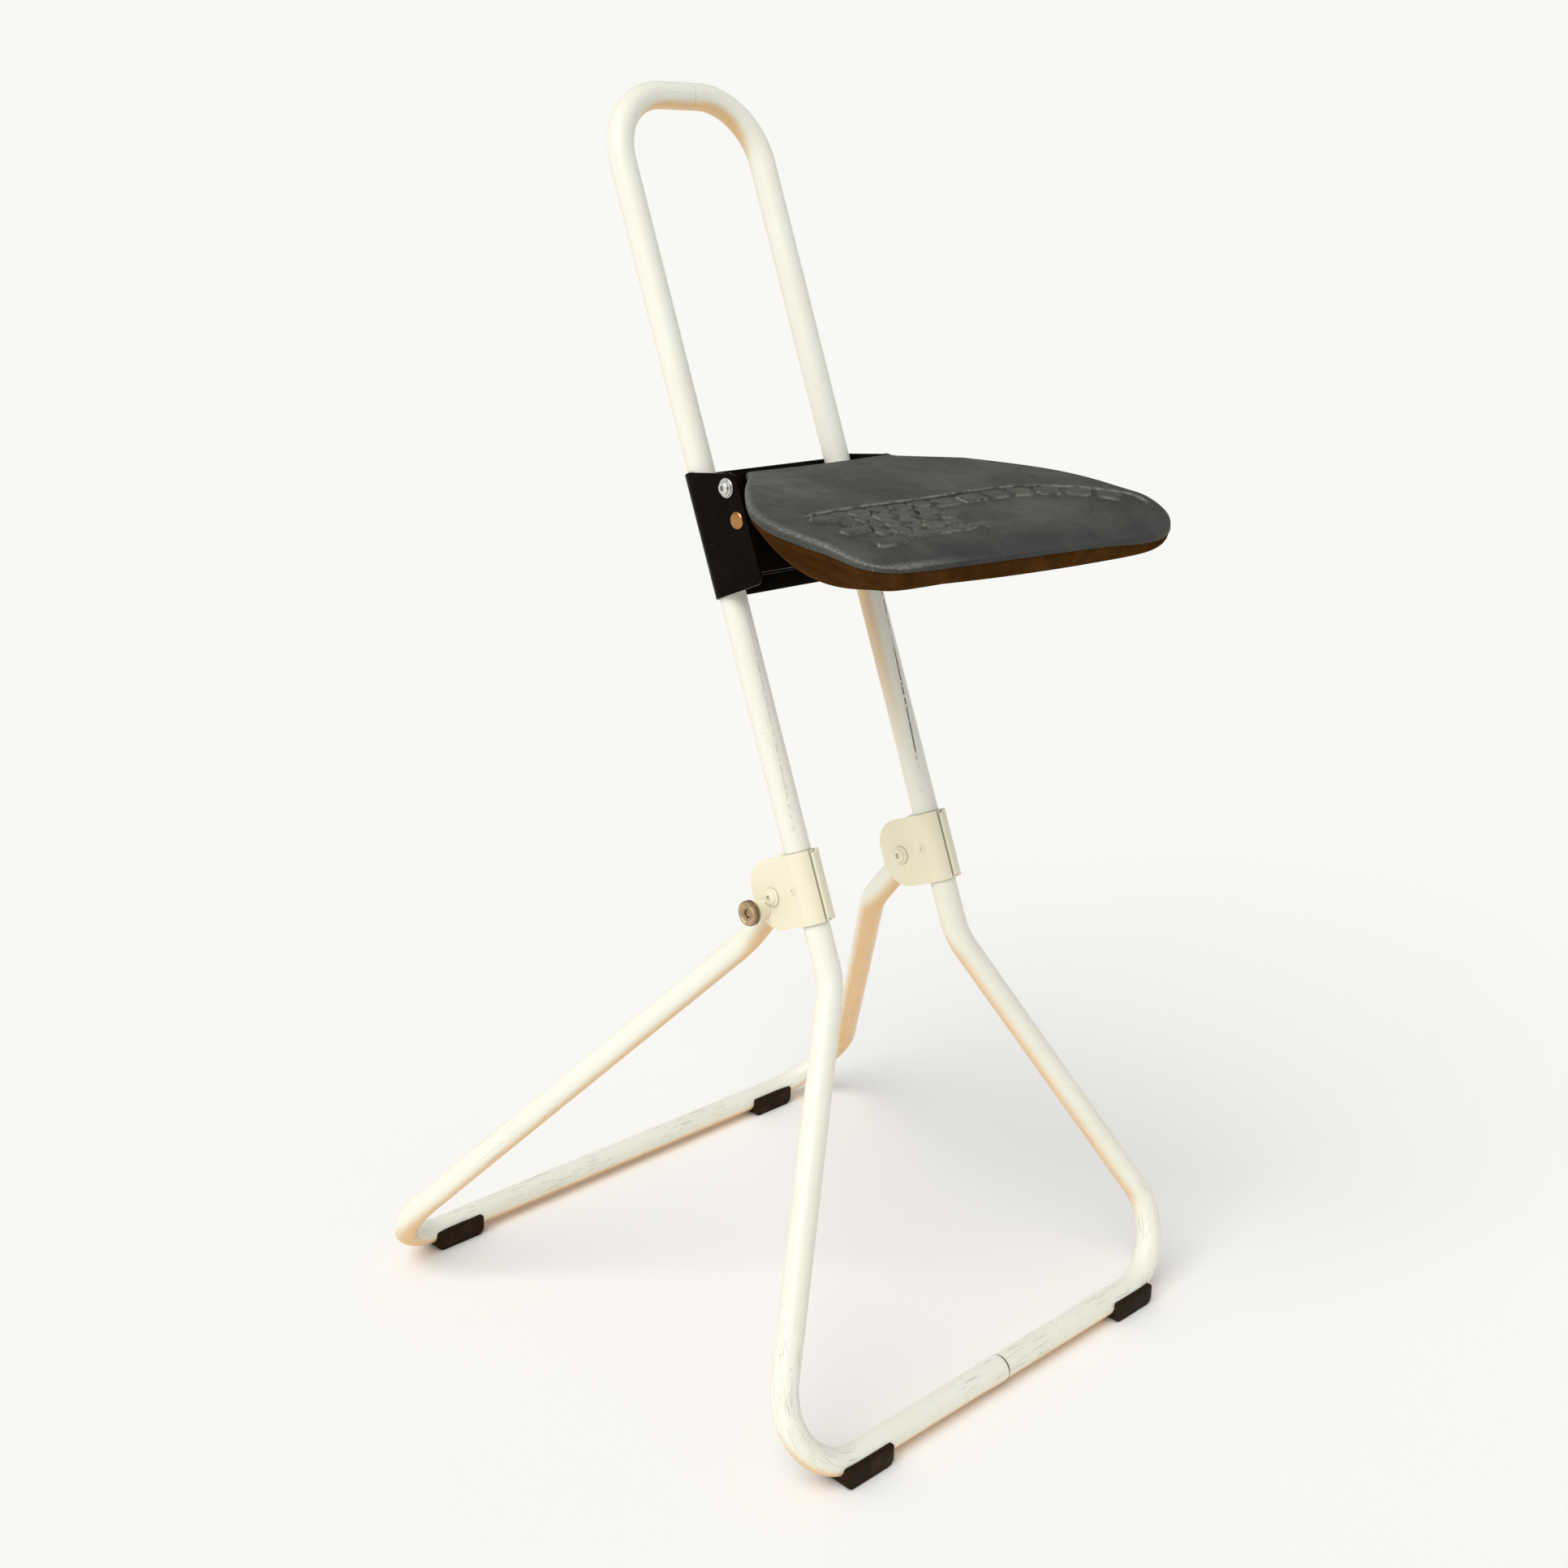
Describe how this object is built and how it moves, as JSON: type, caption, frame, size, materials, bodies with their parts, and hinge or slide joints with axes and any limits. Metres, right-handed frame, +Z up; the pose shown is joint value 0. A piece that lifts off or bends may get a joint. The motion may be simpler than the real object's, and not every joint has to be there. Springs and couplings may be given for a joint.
{
  "type": "folding perching stool",
  "caption": "Folding, height-adjustable perching stool: a leaning white tube frame with a loop handle, a fold-out rear frame and a padded black seat on a sliding carrier",
  "frame": {"origin": "on the floor, under the middle of the rectangle that the two crossbars and their feet stand on", "axes": "+Z up; the stool's front, where the seat points, faces -Y; +X is across the stool, along its crossbars, with the plunger on the -X side"},
  "size_m": [0.566, 0.5234, 1.0284],
  "materials": {
    "white_paint": "cream-white stoved paint on steel, semi-gloss, scratched and chipped where the carrier slides and at the base corners",
    "black_paint": "glossy black paint on folded steel sheet",
    "zinc": "bright zinc-plated steel",
    "copper": "copper-coloured solid rivet, lightly tarnished",
    "knob_steel": "turned steel with a brownish worn face",
    "rubber": "black-brown moulded rubber, matte",
    "nylon": "dark moulded plastic plug",
    "seat_foam": "self-skinned foam, dark grey-green, matte fine grain with a lighter worn edge",
    "gloss_shell": "glossy dark moulded shell under the seat"
  },
  "bodies": {
    "front_frame": {"front_frame_tube": "white_paint", "front_joint_sleeve": "zinc", "left_front_foot": "rubber", "left_front_foot_screw": "zinc", "right_front_foot": "rubber", "right_front_foot_screw": "zinc", "left_hinge_cheek": "white_paint", "left_hinge_wrap": "white_paint", "left_pivot_bolt": "white_paint", "left_pivot_nut": "zinc", "left_bracket_rivet": "white_paint", "right_hinge_cheek": "white_paint", "right_hinge_wrap": "white_paint", "right_pivot_bolt": "white_paint", "right_pivot_nut": "zinc", "right_bracket_rivet": "white_paint", "plunger_housing": "white_paint"},
    "rear_frame": {"rear_frame_tube": "white_paint", "left_tube_plug": "nylon", "right_tube_plug": "nylon", "left_pivot_bush": "zinc", "right_pivot_bush": "zinc", "left_rear_foot": "rubber", "left_rear_foot_screw": "zinc", "right_rear_foot": "rubber", "right_rear_foot_screw": "zinc"},
    "lock_plunger": {"plunger_pin": "zinc", "plunger_knob": "knob_steel", "plunger_spring": "zinc"},
    "seat_carrier": {"carrier_channel": "black_paint", "left_seat_bolt": "zinc", "left_seat_washer": "zinc", "left_seat_nut": "zinc", "left_stop_rivet": "copper", "right_seat_bolt": "zinc", "right_seat_washer": "zinc", "right_seat_nut": "zinc", "right_stop_rivet": "copper"},
    "seat": {"seat_bracket": "black_paint", "friction_bar": "black_paint", "left_friction_pad": "rubber", "right_friction_pad": "rubber", "seat_screw_1": "zinc", "seat_screw_2": "zinc", "seat_screw_3": "zinc", "seat_screw_4": "zinc", "seat_shell": "gloss_shell", "seat_cushion": "seat_foam"}
  },
  "joints": [
    {"name": "rear_fold", "type": "hinge", "parent": "front_frame", "child": "rear_frame", "pos_m": [0, -0.05595, 0.40168], "axis": [-1, 0, 0], "range_deg": [0, 60]},
    {"name": "lock_pull", "type": "slide", "parent": "front_frame", "child": "lock_plunger", "axis": [-1, 0, 0], "range_m": [0, 0.005], "stiffness_N_per_m": 600, "springref_m": -0.004, "deforming": ["plunger_spring"]},
    {"name": "carrier_height", "type": "slide", "parent": "front_frame", "child": "seat_carrier", "axis": [0, 0.3843, 0.9232], "range_m": [-0.2, 0.24]},
    {"name": "seat_tilt", "type": "hinge", "parent": "seat_carrier", "child": "seat", "pos_m": [0, 0.00557, 0.7254], "axis": [-1, 0, 0], "range_deg": [0, 90]}
  ]
}
